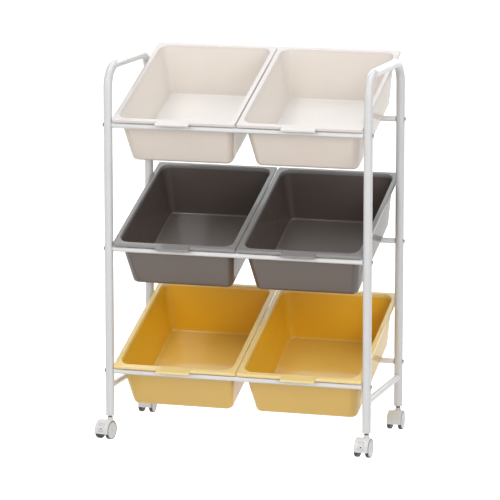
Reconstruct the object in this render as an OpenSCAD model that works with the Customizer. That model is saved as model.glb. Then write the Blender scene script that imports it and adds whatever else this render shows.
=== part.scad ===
// Rolling storage rack with six tilted bins: two bent tube side frames, six cross bars, twin wheel casters.
// Origin on the floor under the middle of the rack, X across, Y to the back, Z up, all sizes in mm.

/* [Frame] */
// Distance across the rack between the post axes
rack_w = 579; // [540:1:620]
// Distance front to back between the post axes
rack_d = 273; // [262:1:290]
// Height of the top of the tube handles above the floor
handle_top = 825; // [800:1:860]
// Outer diameter of the posts and handles
post_d = 19; // [18:0.5:20]
// Wall of the post tube
post_wall = 1.2; // [1:0.1:1.4]
// Bend radius of the handles at the tube's centre line
bend_r = 50; // [40:1:70]
// Height of the bottom of the posts' foot sockets above the floor
foot_z = 49; // [48.5:0.5:54]
// Outer diameter of the low rung between front and back post
rung_d = 14; // [12:0.5:15]
// Wall of the rung tube
rung_wall = 1; // [0.8:0.1:1.5]
// Height of the rung's axis
rung_z = 114.5; // [100:0.5:130]

/* [Cross bars] */
// Outer diameter of the cross bars
bar_d = 12; // [11:0.5:13]
// Wall of the bar tube
bar_wall = 1.2; // [1:0.1:1.5]
// Height of the lowest bars' axes
bar_z = 148.5; // [142:0.5:160]
// Height from one tier to the next
tier_pitch = 270; // [262:1:275]
// Length of the threaded insert in each bar end
insert_l = 16; // [12:1:22]

/* [Screws] */
// Shank diameter of the frame screws
screw_d = 6; // [5:0.5:6.5]
// Diameter of the round screw heads
screw_head_d = 9.5; // [9:0.25:11]
// Height of the screw heads
screw_head_h = 2.8; // [2.4:0.1:3.4]
// Width across the flats of the screw's hexagon socket
screw_socket = 4; // [3:0.5:4.5]
// Shank length of the frame screws
screw_l = 32; // [30:1:34]

/* [Bins] */
// Free space between two bins on a tier
bin_gap = 3; // [2:0.5:8]
// Free space between a bin's rim and the post beside it
bin_side_clear = 1; // [1:0.5:8]
// Length of the rim from front to back
bin_l = 351; // [335:1:358]
// Height of the bin from the underside to the rim's top face
bin_depth = 113; // [108:1:117]
// Distance of the front bar's axis below the rim's top face
hook_drop = 16.2; // [15.5:0.1:17.5]
// Width of the rim in front of the front wall
rim_front = 10; // [9:0.5:11]
// Width of the rim behind the back wall
rim_back = 8; // [6:0.5:10]
// Width of the rim beside a side wall
rim_side = 8.5; // [6:0.5:9]
// Thickness of the rim
rim_t = 2; // [1.6:0.1:2.6]
// Height of the skirt below the rim's edge
rim_drop = 7; // [5:0.25:8]
// Corner radius of the rim
rim_corner = 4.5; // [3:0.5:10]
// Wall of the bin
bin_wall = 1.8; // [1.4:0.1:2.4]
// Thickness of the bin's floor
bin_floor = 2; // [1.6:0.1:3]
// Slope of the front wall from the upright
draft_front = 5.5; // [4:0.25:8]
// Slope of the back wall from the upright
draft_back = 14.5; // [12:0.25:16]
// Slope of the side walls from the upright
draft_side = 8.5; // [6:0.1:9]
// Corner radius of the body at the rim
corner_top = 25; // [18:1:34]
// Corner radius of the body at the floor
corner_low = 14; // [12:0.5:20]
// Radius between walls and floor
foot_round = 9; // [7:0.5:10]

/* [Bin grip] */
// Width of the grip tab
grip_w = 77; // [60:1:100]
// Reach of the grip tab in front of the rim
grip_l = 13; // [11:0.5:16]
// Height of the grip tab's edge
grip_h = 4.5; // [3.5:0.25:6]
// Corner radius of the grip tab
grip_corner = 4; // [3:0.5:8]

/* [Casters] */
// Diameter of the wheels
wheel_d = 40; // [38:0.5:41]
// Width of a wheel's tyre
tyre_w = 7.6; // [7:0.1:8]
// Height of the tyre above the wheel's rim
tyre_t = 1.4; // [1.2:0.1:2.4]
// Thickness of the dark disc on the wheel's inner face
tyre_disc = 1.4; // [1:0.1:2]
// Distance of the tyres' inner faces from the middle of the caster
wheel_in = 8.8; // [8.6:0.1:9.2]
// Distance of the axle behind the swivel axis
trail = 20; // [19:0.5:25]
// Diameter of the axle
axle_d = 5; // [4:0.25:5.5]
// Diameter of the swivel stem
stem_d = 8; // [7:0.25:8.5]
// Length of the stem inside the foot socket
stem_l = 32; // [26:1:36]
// Diameter of the dark collar between socket and hood
neck_d = 10.5; // [10:0.25:12]
// Wall of the hood
hood_wall = 1.6; // [1.4:0.1:1.8]
// Free space between tyre and hood
hood_clear = 1.2; // [1:0.1:1.5]
// Height of the hood's lower edge above the floor
hood_edge = 14.5; // [11:0.5:15]
// Width of the brake lever
lever_w = 11.8; // [10:0.1:12.2]
// Angle of the lever's lower end above the axle
lever_low = 2.5; // [2:0.5:4]
// Angle of the lever's upper end above the axle
lever_high = 33; // [30:1:38]
// Angle of the brake recess's upper end above the axle
slot_high = 47; // [42:1:54]
// Diameter of the dimple in the brake lever
dimple_d = 3.5; // [2:0.5:4]

/* [Fits] */
// Free space between a bin and the bars that carry it
seat_clear = 0.3; // [0.2:0.05:0.6]
// Running clearance on the radius of stems, axles and lever pins
run_clear = 0.05; // [0.03:0.01:0.08]
// Free space on the radius between parts that stand still
slip = 0.05; // [0.02:0.01:0.1]

/* [Hidden] */
$fa = 4;
$fs = 0.4;
bar_r = bar_d / 2;
post_r = post_d / 2;
post_x = rack_w / 2;
post_y = rack_d / 2;
post_bore = post_d - 2 * post_wall;
socket_flange = 2.5;
socket_l = stem_l + 3;
tube_foot = foot_z + socket_flange;
handle_z = handle_top - post_r;
bend_z = handle_z - bend_r;
bar_half = post_x - post_r - slip;
bar_bore = bar_d - 2 * bar_wall;
bin_w = (rack_w - post_d - bin_gap - 2 * bin_side_clear) / 2;
bin_x = (bin_w + bin_gap) / 2;
tilt = asin((bin_depth - hook_drop + bar_r + seat_clear) / rack_d);
hook_u = rim_front + hook_drop * tan(draft_front) - (bar_r + seat_clear) / cos(draft_front);
foot_front = rim_front + bin_depth * tan(draft_front);
foot_back = bin_l - rim_back - bin_depth * tan(draft_back);
foot_half = bin_w / 2 - rim_side - bin_depth * tan(draft_side);
wheel_r = wheel_d / 2;
wheel_out = wheel_in + tyre_w;
hub_r = wheel_r - tyre_t;
hood_in = wheel_r + hood_clear;
hood_r = hood_in + hood_wall;
hood_half = wheel_out - 0.4;
web_half = wheel_in - 0.4;
boss_d = 15;
boss_top = foot_z - 9;
neck_low = foot_z - 4.8;
bead = 0.5;
axle_half = wheel_out - 1.4;
head_l = 1.2;
lever_r = hood_r;
lever_in = hood_in - 2;
pin_d = 2;
pin_r = 17.4;
pin_a = 25;
slot_low = lever_low - 1.5;
slot_half = lever_w / 2 + 0.3;
core_r = 13;
cut_r = 3 * hood_r;
dimple_a = 15;
hub_boss_r = axle_d / 2 + 3;

// Direction of each caster as photographed, in degrees from straight ahead
turn_fl = -10.5;
turn_fr = -3;
turn_rr = 0.5;
turn_rl = 0.5;

// Places its child at each of the four posts
module at_posts() {
  for (sx = [-1, 1])
    for (sy = [-1, 1])
      translate([sx * post_x, sy * post_y, 0])
        children();
}

// Places its child at both ends of all bars, with local Z pointing outwards along the bar
module at_bar_ends() {
  for (tier = [0:2])
    for (sy = [-1, 1])
      for (sx = [-1, 1])
        translate([0, sy * post_y, bar_z + tier * tier_pitch])
          rotate([0, sx * 90, 0])
            children();
}

// Ring profile of a tube
module tube_profile(d, wall) {
  difference() {
    circle(d = d);
    circle(d = d - 2 * wall);
  }
}

// One bend of a handle, from the post to the top run
module handle_bend() {
  translate([0, post_y - bend_r, bend_z])
    rotate([90, 0, 90])
      rotate_extrude(angle = 90)
        translate([bend_r, 0])
          tube_profile(post_d, post_wall);
}

// Two posts and the handle bent from one tube
module bent_tube() {
  for (s = [0, 1])
    mirror([0, s, 0]) {
      translate([0, post_y, tube_foot])
        linear_extrude(bend_z - tube_foot)
          tube_profile(post_d, post_wall);
      handle_bend();
    }
  translate([0, post_y - bend_r, handle_z])
    rotate([90, 0, 0])
      linear_extrude(rack_d - 2 * bend_r)
        tube_profile(post_d, post_wall);
}

// Rung tube, coped to the posts
module rung() {
  difference() {
    translate([0, post_y, rung_z])
      rotate([90, 0, 0])
        cylinder(d = rung_d, h = rack_d);
    for (s = [-1, 1])
      translate([0, s * post_y, rung_z - rung_d])
        cylinder(d = post_bore + post_wall, h = 2 * rung_d);
  }
}

module side_frame() {
  rung_in = post_y - post_r - 1.5;
  color([0.87, 0.88, 0.9])
    difference() {
      union() {
        bent_tube();
        rung();
      }
      translate([0, rung_in, rung_z])
        rotate([90, 0, 0])
          cylinder(d = rung_d - 2 * rung_wall, h = 2 * rung_in);
      translate([0, post_y, rung_z])
        rotate([90, 0, 0])
          cylinder(d = 4, h = rack_d);
      for (tier = [0:2])
        for (s = [-1, 1])
          translate([-post_d, s * post_y, bar_z + tier * tier_pitch])
            rotate([0, 90, 0])
              cylinder(d = screw_d + 0.4, h = 2 * post_d);
    }
}

module cross_bar(s, tier) {
  color([0.87, 0.88, 0.9])
    translate([-bar_half, s * post_y, bar_z + tier * tier_pitch])
      rotate([0, 90, 0])
        linear_extrude(2 * bar_half)
          tube_profile(bar_d, bar_wall);
}

module bar_insert() {
  color([0.55, 0.56, 0.58])
    translate([0, 0, bar_half - insert_l])
      difference() {
        cylinder(d = bar_bore - 2 * slip, h = insert_l);
        translate([0, 0, -1])
          cylinder(d = screw_d + 2 * slip, h = insert_l + 2);
      }
}

module frame_screw() {
  head_z = post_x + post_r + slip;
  dome_r = (screw_head_d * screw_head_d / 4 + (screw_head_h - 0.8) * (screw_head_h - 0.8)) / 2 / (screw_head_h - 0.8);
  color([0.3, 0.3, 0.32])
    difference() {
      union() {
        translate([0, 0, head_z - screw_l])
          cylinder(d = screw_d, h = screw_l + 0.5);
        translate([0, 0, head_z])
          cylinder(d = screw_head_d, h = 0.8);
        intersection() {
          translate([0, 0, head_z + 0.4])
            cylinder(d = screw_head_d, h = screw_head_h);
          translate([0, 0, head_z + screw_head_h - dome_r])
            sphere(r = dome_r);
        }
      }
      translate([0, 0, head_z + screw_head_h - 2])
        linear_extrude(3)
          circle(d = screw_socket / cos(30), $fn = 6);
    }
}

// Plastic socket in a post's foot, which holds a caster's stem
module foot_socket() {
  color([0.93, 0.93, 0.93])
    difference() {
      union() {
        translate([0, 0, foot_z])
          cylinder(d = post_d + 1, h = socket_flange - slip);
        translate([0, 0, foot_z])
          cylinder(d = post_bore - 2 * slip, h = socket_l);
      }
      translate([0, 0, foot_z - 1])
        cylinder(d = stem_d + 2 * run_clear, h = socket_l + 2);
      translate([0, 0, foot_z + stem_l - 6])
        cylinder(d = stem_d + 2 * bead + 0.4, h = 3);
    }
}

// How far the rounded foot stands inside a wall with the given slope at height z
function foot_in(z, slope, r) = z < r * (1 - sin(slope))
  ? r * tan(45 - slope / 2) - sqrt(r * r - (r - z) * (r - z)) + z * tan(slope)
  : 0;

// Points of one level of a bin's body: front, back, half width and corner radius
function level(front, back, half, r, seg) = [
  for (q = [0:3])
    for (i = [0:seg])
      let (a = 90 * q + 90 * i / seg,
        cx = (q == 0 || q == 3) ? half - r : r - half,
        cy = q < 2 ? back - r : front + r)
        [cx + r * cos(a), cy + r * sin(a)]
];

// Tapered body with rounded corners and foot, from z0 up to z1
module body(front, back, half, z0, z1, r, low, top) {
  seg = 8;
  m = 4 * (seg + 1);
  steps = 5;
  heights = concat([for (k = [0:steps - 1]) r * (1 - cos(18 * k))], [r, z1 - z0]);
  last = len(heights) - 1;
  rings = [
    for (z = heights)
      [for (p = level(front - z * tan(draft_front) + foot_in(z, draft_front, r),
          back + z * tan(draft_back) - foot_in(z, draft_back, r),
          half + z * tan(draft_side) - foot_in(z, draft_side, r),
          low + (top - low) * z / (z1 - z0) - foot_in(z, draft_side, r), seg))
        [p[0], p[1], z0 + z]]
  ];
  points = [for (ring = rings) for (p = ring) p];
  walls = [
    for (k = [0:last - 1])
      for (j = [0:m - 1])
        let (a = k * m + j, b = k * m + (j + 1) % m)
          if (j % (seg + 1) == seg) [a, a + m, b + m, b]
  ];
  corners = [
    for (k = [0:last - 1])
      for (j = [0:m - 1])
        let (a = k * m + j, b = k * m + (j + 1) % m)
          if (j % (seg + 1) != seg)
            for (f = [[a, a + m, b + m], [a, b + m, b]]) f
  ];
  caps = [[for (j = [0:m - 1]) j], [for (j = [m - 1:-1:0]) last * m + j]];
  polyhedron(points, concat(walls, corners, caps));
}

// Rectangle with round corners around the rim, drawn inwards by the given amount
module rim_profile(in) {
  r = rim_corner - in;
  translate([in - bin_w / 2, in + r])
    square([bin_w - 2 * in, bin_l - 2 * in - 2 * r]);
  translate([in + r - bin_w / 2, in])
    square([bin_w - 2 * in - 2 * r, bin_l - 2 * in]);
  for (sx = [-1, 1])
    for (v = [in + r, bin_l - in - r])
      translate([sx * (bin_w / 2 - in - r), v])
        circle(r = r);
}

// Outline of the grip tab, drawn inwards by the given amount
module grip_profile(in) {
  r = grip_corner - in;
  translate([in - grip_w / 2, in + r - grip_l])
    square([grip_w - 2 * in, grip_l - in - r + rim_t]);
  translate([in + r - grip_w / 2, in - grip_l])
    square([grip_w - 2 * in - 2 * r, grip_l - in + rim_t]);
  for (sx = [-1, 1])
    translate([sx * (grip_w / 2 - in - r), in + r - grip_l])
      circle(r = r);
}

// A bin standing upright, its rim's front edge on the X axis and its rim's top face at z = bin_depth
module bin_shape() {
  difference() {
    union() {
      body(foot_front, foot_back, foot_half, 0, bin_depth - rim_t / 2, foot_round, corner_low, corner_top);
      translate([0, 0, bin_depth - rim_t])
        linear_extrude(rim_t)
          rim_profile(0);
      difference() {
        translate([0, 0, bin_depth - rim_drop])
          linear_extrude(rim_drop)
            difference() {
              rim_profile(0);
              rim_profile(rim_t);
            }
        translate([rim_t - grip_w / 2, -1, bin_depth - rim_drop - 1])
          cube([grip_w - 2 * rim_t, rim_t + 2, rim_drop + 1 - rim_t / 2]);
      }
      translate([0, 0, bin_depth - rim_t])
        linear_extrude(rim_t)
          grip_profile(0);
      translate([0, 0, bin_depth - grip_h])
        linear_extrude(grip_h)
          difference() {
            grip_profile(0);
            grip_profile(rim_t);
            translate([rim_t - grip_w / 2, 0])
              square([grip_w - 2 * rim_t, 2 * rim_t]);
          }
    }
    body(foot_front - bin_floor * tan(draft_front) + bin_wall / cos(draft_front),
      foot_back + bin_floor * tan(draft_back) - bin_wall / cos(draft_back),
      foot_half + bin_floor * tan(draft_side) - bin_wall / cos(draft_side),
      bin_floor, bin_depth + 1, foot_round - bin_wall, corner_low - bin_wall, corner_top - bin_wall);
  }
}

module bin(side, tier, tone) {
  color(tone)
    translate([side * bin_x, -post_y, bar_z + tier * tier_pitch])
      rotate([tilt, 0, 0])
        translate([0, -hook_u, hook_drop - bin_depth])
          bin_shape();
}

// Places its child at one caster's swivel axis, turned as photographed
module at_caster(sx, sy, turn) {
  translate([sx * post_x, sy * post_y, 0])
    rotate([0, 0, turn])
      children();
}

// Places its child on the axle, with local Z along the axle towards +X
module on_axle() {
  translate([0, -trail, wheel_r])
    rotate([0, 90, 0])
      children();
}

module stem() {
  color([0.3, 0.3, 0.32])
    union() {
      translate([0, 0, wheel_r + 2])
        cylinder(d = stem_d, h = foot_z + stem_l - wheel_r - 3);
      translate([0, 0, foot_z + stem_l - 1.5])
        cylinder(d1 = stem_d, d2 = stem_d - 2, h = 1);
      translate([0, 0, neck_low])
        cylinder(d = neck_d, h = 4.6);
      translate([0, 0, foot_z + stem_l - 5.3])
        cylinder(d = stem_d + 2 * bead - 0.2, h = 1.6);
    }
}

// Point in the hood's side view at radius r and angle a above straight ahead
function front_point(r, a) = [-r * cos(a), r * sin(a)];

// Wedge of the hood's side view between two angles above straight ahead
module front_sector(low, high) {
  polygon([[0, 0], front_point(cut_r, low), front_point(cut_r, (low + high) / 2), front_point(cut_r, high)]);
}

// Side view of the hood with the axle at the origin, X to the back and Y up
module hood_side(r) {
  intersection() {
    circle(r = r);
    translate([-r - 1, hood_edge - wheel_r])
      square([2 * r + 2, 2 * r]);
  }
}

// Extrudes a side view over the caster's width
module side_extrude(half) {
  translate([-half, -trail, wheel_r])
    rotate([90, 0, 90])
      linear_extrude(2 * half)
        children();
}

module hood(braked) {
  color([0.94, 0.94, 0.94])
    difference() {
      union() {
        side_extrude(hood_half)
          difference() {
            hood_side(hood_r);
            circle(r = hood_in);
          }
        side_extrude(web_half)
          hood_side(hood_r - hood_wall / 2);
        translate([0, 0, wheel_r])
          cylinder(d = boss_d, h = boss_top - wheel_r);
        translate([0, 0, boss_top - 1])
          cylinder(d = neck_d + 1, h = neck_low - boss_top + 1);
        translate([-boss_d / 2, -trail, wheel_r])
          cube([boss_d, trail, boss_top - wheel_r - 3]);
      }
      on_axle()
        translate([0, 0, -web_half - 1])
          cylinder(d = axle_d, h = 2 * web_half + 2);
      translate([0, 0, wheel_r + 2])
        cylinder(d = stem_d, h = foot_z);
      if (braked) {
        side_extrude(slot_half)
          difference() {
            intersection() {
              front_sector(slot_low, slot_high);
              circle(r = hood_r + 5);
            }
            circle(r = core_r);
          }
        side_extrude(web_half + 1)
          translate(front_point(pin_r, pin_a))
            circle(d = pin_d);
      }
    }
}

module axle() {
  color([0.6, 0.61, 0.63])
    on_axle()
      union() {
        translate([0, 0, -axle_half])
          cylinder(d = axle_d, h = 2 * axle_half);
        for (s = [0, 1])
          mirror([0, 0, s])
            translate([0, 0, axle_half - head_l])
              cylinder(d = axle_d + 2 * bead, h = head_l);
      }
}

// Wheel centre with its cover, on the +Z side of the axle
module hub_shape() {
  translate([0, 0, wheel_in])
    difference() {
      union() {
        translate([0, 0, tyre_disc])
          cylinder(r = hub_r, h = tyre_w - tyre_disc);
        cylinder(r = hub_boss_r, h = tyre_w);
        translate([0, 0, tyre_w - 0.5])
          cylinder(r1 = hub_r - 0.4, r2 = hub_r - 1.6, h = 1);
        translate([0, 0, tyre_w + 0.4])
          cylinder(r1 = hub_r - 1.6, r2 = hub_r - 4, h = 0.5);
      }
      translate([0, 0, -1])
        cylinder(d = axle_d + 2 * run_clear, h = tyre_w - 0.4);
      translate([0, 0, tyre_w - 1.4 - head_l - 0.3])
        cylinder(d = axle_d + 2 * bead + 0.4, h = head_l + 0.6);
      translate([0, 0, tyre_w + 0.2])
        difference() {
          cylinder(r = hub_r - 6, h = 3);
          translate([0, 0, -1])
            cylinder(r = hub_boss_r, h = 8);
        }
    }
}

// Tread with the disc that closes the wheel's inner face
module tyre_shape() {
  round = tyre_t / 2;
  rotate_extrude()
    translate([0, wheel_in])
      union() {
        translate([hub_boss_r, 0])
          square([hub_r - hub_boss_r + 0.1, tyre_disc]);
        translate([hub_r, 0])
          square([tyre_t - round, tyre_w]);
        translate([hub_r, round])
          square([tyre_t, tyre_w - 2 * round]);
        for (v = [round, tyre_w - round])
          translate([wheel_r - round, v])
            circle(r = round);
      }
}

module hub(s) {
  color([0.88, 0.88, 0.88])
    on_axle()
      mirror([0, 0, s])
        hub_shape();
}

module tyre(s) {
  color([0.2, 0.19, 0.19])
    on_axle()
      mirror([0, 0, s])
        tyre_shape();
}

module brake_lever() {
  color([0.94, 0.94, 0.94])
    difference() {
      side_extrude(lever_w / 2)
        difference() {
          union() {
            intersection() {
              difference() {
                circle(r = lever_r);
                circle(r = lever_in);
              }
              front_sector(lever_low, lever_high);
            }
            translate(front_point(pin_r, pin_a))
              circle(d = 5.4);
          }
          translate(front_point(pin_r, pin_a))
            circle(d = pin_d + 2 * run_clear);
        }
      translate([0, -trail, wheel_r])
        rotate([90 - dimple_a, 0, 0])
          translate([0, 0, lever_r - 1.2])
            cylinder(d = dimple_d, h = 6);
    }
}

module brake_pin() {
  color([0.6, 0.61, 0.63])
    side_extrude(web_half - 0.3)
      translate(front_point(pin_r, pin_a))
        circle(d = pin_d);
}

cream = [0.93, 0.9, 0.84];
grey = [0.42, 0.4, 0.39];
yellow = [0.93, 0.74, 0.3];

translate([-post_x, 0, 0]) side_frame();  // left_side_frame
translate([post_x, 0, 0]) side_frame();  // right_side_frame
cross_bar(-1, 2);  // bar_top_front
cross_bar(1, 2);  // bar_top_rear
cross_bar(-1, 1);  // bar_middle_front
cross_bar(1, 1);  // bar_middle_rear
cross_bar(-1, 0);  // bar_low_front
cross_bar(1, 0);  // bar_low_rear
at_bar_ends() bar_insert();  // bar_inserts
at_bar_ends() frame_screw();  // frame_screws
at_posts() foot_socket();  // foot_sockets
bin(-1, 2, cream);  // bin_top_left
bin(1, 2, cream);  // bin_top_right
bin(-1, 1, grey);  // bin_middle_left
bin(1, 1, grey);  // bin_middle_right
bin(-1, 0, yellow);  // bin_low_left
bin(1, 0, yellow);  // bin_low_right
at_caster(-1, -1, turn_fl) stem();  // stem_fl
at_caster(-1, -1, turn_fl) hood(true);  // hood_fl
at_caster(-1, -1, turn_fl) axle();  // axle_fl
at_caster(-1, -1, turn_fl) hub(1);  // hub_a_fl
at_caster(-1, -1, turn_fl) tyre(1);  // tyre_a_fl
at_caster(-1, -1, turn_fl) hub(0);  // hub_b_fl
at_caster(-1, -1, turn_fl) tyre(0);  // tyre_b_fl
at_caster(-1, -1, turn_fl) brake_lever();  // brake_fl
at_caster(-1, -1, turn_fl) brake_pin();  // brake_pin_fl
at_caster(1, -1, turn_fr) stem();  // stem_fr
at_caster(1, -1, turn_fr) hood(true);  // hood_fr
at_caster(1, -1, turn_fr) axle();  // axle_fr
at_caster(1, -1, turn_fr) hub(1);  // hub_a_fr
at_caster(1, -1, turn_fr) tyre(1);  // tyre_a_fr
at_caster(1, -1, turn_fr) hub(0);  // hub_b_fr
at_caster(1, -1, turn_fr) tyre(0);  // tyre_b_fr
at_caster(1, -1, turn_fr) brake_lever();  // brake_fr
at_caster(1, -1, turn_fr) brake_pin();  // brake_pin_fr
at_caster(-1, 1, turn_rl) stem();  // stem_rl
at_caster(-1, 1, turn_rl) hood(false);  // hood_rl
at_caster(-1, 1, turn_rl) axle();  // axle_rl
at_caster(-1, 1, turn_rl) hub(1);  // hub_a_rl
at_caster(-1, 1, turn_rl) tyre(1);  // tyre_a_rl
at_caster(-1, 1, turn_rl) hub(0);  // hub_b_rl
at_caster(-1, 1, turn_rl) tyre(0);  // tyre_b_rl
at_caster(1, 1, turn_rr) stem();  // stem_rr
at_caster(1, 1, turn_rr) hood(false);  // hood_rr
at_caster(1, 1, turn_rr) axle();  // axle_rr
at_caster(1, 1, turn_rr) hub(1);  // hub_a_rr
at_caster(1, 1, turn_rr) tyre(1);  // tyre_a_rr
at_caster(1, 1, turn_rr) hub(0);  // hub_b_rr
at_caster(1, 1, turn_rr) tyre(0);  // tyre_b_rr
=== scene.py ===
import logging
import math
from dataclasses import dataclass
from enum import Enum
from typing import Callable, Iterable, Optional, Sequence, Union

import bpy
from mathutils import Matrix, Vector


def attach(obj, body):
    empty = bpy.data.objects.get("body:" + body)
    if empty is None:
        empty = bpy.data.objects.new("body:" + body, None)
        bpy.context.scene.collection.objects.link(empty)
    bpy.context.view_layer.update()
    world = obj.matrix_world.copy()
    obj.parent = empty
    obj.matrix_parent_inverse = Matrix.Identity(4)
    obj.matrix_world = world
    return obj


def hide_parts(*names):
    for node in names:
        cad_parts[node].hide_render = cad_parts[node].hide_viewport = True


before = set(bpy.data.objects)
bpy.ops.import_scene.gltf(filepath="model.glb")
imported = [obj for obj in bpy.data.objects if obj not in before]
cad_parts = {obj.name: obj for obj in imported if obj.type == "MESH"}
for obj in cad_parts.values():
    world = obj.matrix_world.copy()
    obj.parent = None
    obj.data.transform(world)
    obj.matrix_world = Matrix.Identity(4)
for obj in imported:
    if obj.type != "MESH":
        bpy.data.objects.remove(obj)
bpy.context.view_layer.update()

logging.basicConfig(level=logging.INFO, format="%(message)s")
log = logging.getLogger("rack")

MM = 0.001
Point = tuple[float, float, float]
Flat = tuple[float, float]
Colour = tuple[float, float, float]


class Tier(Enum):
    """The tiers, each with the number of tiers below it."""

    LOW = 0
    MIDDLE = 1
    TOP = 2


class Side(Enum):
    """Left and right half of the rack, each with the sign of X."""

    LEFT = -1
    RIGHT = 1


@dataclass(frozen=True)
class RackSizes:
    """Sizes that several sub-assemblies share, in mm."""

    post_x: float = 289.5
    post_y: float = 136.5
    post_r: float = 9.5
    bar_r: float = 6.0
    bar_z: float = 148.5
    pitch: float = 270.0

    def bar_height(self, tier: Tier) -> float:
        """Height of the axes of a tier's bars above the floor."""
        return self.bar_z + tier.value * self.pitch


class Corner(Enum):
    """Front and rear, left and right post, each with the signs of X and Y and the caster's turn in degrees."""

    FL = (-1, -1, -10.5)
    FR = (1, -1, -3.0)
    RL = (-1, 1, 0.5)
    RR = (1, 1, 0.5)

    def __init__(self, x: int, y: int, turn: float) -> None:
        """Keeps the signs and the turn, and puts a brake on the front casters."""
        self.x, self.y, self.turn, self.braked = x, y, turn, y < 0

    def spot(self, rack: RackSizes) -> Vector:
        """Point on the floor under this post, in metres."""
        return Vector((self.x * rack.post_x * MM, self.y * rack.post_y * MM, 0.0))


class Signal:
    """A shader socket that can be used in Python expressions."""

    def __init__(self, graph: "NodeGraph", socket: bpy.types.NodeSocket) -> None:
        """Keeps the output socket and the graph that new nodes go into."""
        self.graph, self.socket = graph, socket

    def _math(self, operation: str, a: "Value", b: "Value") -> "Signal":
        """Adds a Math node on two values."""
        return self.graph.node("ShaderNodeMath", {"operation": operation}, {0: a, 1: b})

    def __add__(self, other: "Value") -> "Signal":
        """Sum of two values."""
        return self._math("ADD", self, other)

    def __sub__(self, other: "Value") -> "Signal":
        """Difference of two values."""
        return self._math("SUBTRACT", self, other)

    def __rsub__(self, other: "Value") -> "Signal":
        """Difference of two values, reflected."""
        return self._math("SUBTRACT", other, self)

    def __mul__(self, other: "Value") -> "Signal":
        """Product of two values."""
        return self._math("MULTIPLY", self, other)

    __radd__ = __add__
    __rmul__ = __mul__

    def above(self, low: float, high: float) -> "Signal":
        """Smooth step from 0 at low to 1 at high."""
        ends = {"Value": self, "From Min": low, "From Max": high}
        return self.graph.node("ShaderNodeMapRange", {"interpolation_type": "SMOOTHSTEP"}, ends)


Value = Union[Signal, float]


class NodeGraph:
    """A node tree of a material or world."""

    def __init__(self, tree: bpy.types.NodeTree) -> None:
        """Keeps the tree."""
        self.tree = tree

    def node(self, kind: str, settings: dict[str, object], inputs: dict[Union[str, int], object],
             result: Union[str, int] = 0) -> Signal:
        """Adds any node.

        Args:
            kind: the node's type.
            settings: properties that are set first.
            inputs: values or links of the node's sockets.
            result: the output socket that is used.

        Returns:
            The output as a Signal.
        """
        made = self.tree.nodes.new(kind)
        for key, value in settings.items():
            setattr(made, key, value)
        for key, value in inputs.items():
            self.feed(made.inputs[key], value)
        return Signal(self, made.outputs[result])

    def feed(self, socket: bpy.types.NodeSocket, value: object) -> None:
        """Links or sets one input socket.

        Args:
            socket: the input socket.
            value: a Signal, a number or a tuple.
        """
        if isinstance(value, Signal):
            self.tree.links.new(value.socket, socket)
        else:
            socket.default_value = (*value, 1.0) if socket.type == "RGBA" else value

    def place(self) -> Signal:
        """Coordinates fixed to the piece, in metres."""
        return self.node("ShaderNodeTexCoord", {}, {}, "Object")

    def mark(self, word: str) -> Signal:
        """Value that the mesh carries at its points under this word."""
        return self.node("ShaderNodeAttribute", {"attribute_name": word}, {}, "Fac")

    def noise(self, size_mm: float, detail: float = 2.0, roughness: float = 0.5,
              stretch: Point = (1.0, 1.0, 1.0)) -> Signal:
        """Noise between 0 and 1, fixed to the piece.

        Args:
            size_mm: size of its larger features in mm.
            detail: number of finer layers.
            roughness: strength of the finer layers.
            stretch: factors on the coordinates.

        Returns:
            The noise.
        """
        spot = self.node("ShaderNodeMapping", {}, {"Vector": self.place(), "Scale": stretch})
        inputs = {"Vector": spot, "Scale": 1 / (size_mm * MM), "Detail": detail, "Roughness": roughness}
        return self.node("ShaderNodeTexNoise", {}, inputs, "Fac")

    def mix(self, a: object, b: object, mask: Value) -> Signal:
        """Colour a where the mask is 0, and b where it is 1."""
        return self.node("ShaderNodeMix", {"data_type": "RGBA"}, {0: mask, 6: a, 7: b}, 2)

    def bump(self, height: Signal, reach_mm: float, strength: float, under: Optional[Signal] = None) -> Signal:
        """Adds a Bump node.

        Args:
            height: height from 0 to 1.
            reach_mm: what a height of 1 stands for.
            strength: share of the effect.
            under: normal of a coarser bump below this one.

        Returns:
            The normal.
        """
        below = {} if under is None else {"Normal": under}
        inputs = {"Height": height, "Distance": reach_mm * MM, "Strength": strength}
        return self.node("ShaderNodeBump", {}, inputs | below)


class Paint(NodeGraph):
    """A material with its Principled shader."""

    def __init__(self, name: str) -> None:
        """Makes a material that holds only the shader.

        Args:
            name: the material's name.
        """
        self.material = bpy.data.materials.new(name)
        self.material.use_nodes = True
        super().__init__(self.material.node_tree)
        self.tree.nodes.clear()
        self.shader = self.tree.nodes.new("ShaderNodeBsdfPrincipled")
        surface = self.tree.nodes.new("ShaderNodeOutputMaterial").inputs["Surface"]
        self.tree.links.new(self.shader.outputs["BSDF"], surface)

    def set(self, **values: object) -> None:
        """Feeds the shader's sockets; an underscore in a name stands for a space."""
        for key, value in values.items():
            self.feed(self.shader.inputs[key.replace("_", " ")], value)


@dataclass(frozen=True)
class PowderCoat:
    """White powder coat on steel tube."""

    name: str = "powder_coat_white"
    base: Colour = (0.69, 0.69, 0.695)
    shade: Colour = (0.66, 0.66, 0.665)
    rough: float = 0.33
    coat: float = 0.7

    def make(self) -> bpy.types.Material:
        """Builds the material.

        Returns:
            A coat with faint cloudiness, orange peel and uneven gloss.
        """
        g = Paint(self.name)
        cloud = g.noise(70.0, 3.0)
        peel = g.noise(1.6, 1.0, 0.4)
        scuff = g.noise(9.0, 4.0, 0.7, (1.0, 1.0, 0.25)).above(0.62, 0.8)
        g.set(Base_Color=g.mix(self.base, self.shade, cloud.above(0.3, 0.75)))
        g.set(Roughness=self.rough + cloud * 0.08 + scuff * 0.12)
        g.set(Normal=g.bump(peel, 0.05, 0.35), Coat_Weight=self.coat, Coat_Roughness=0.25)
        return g.material


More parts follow.
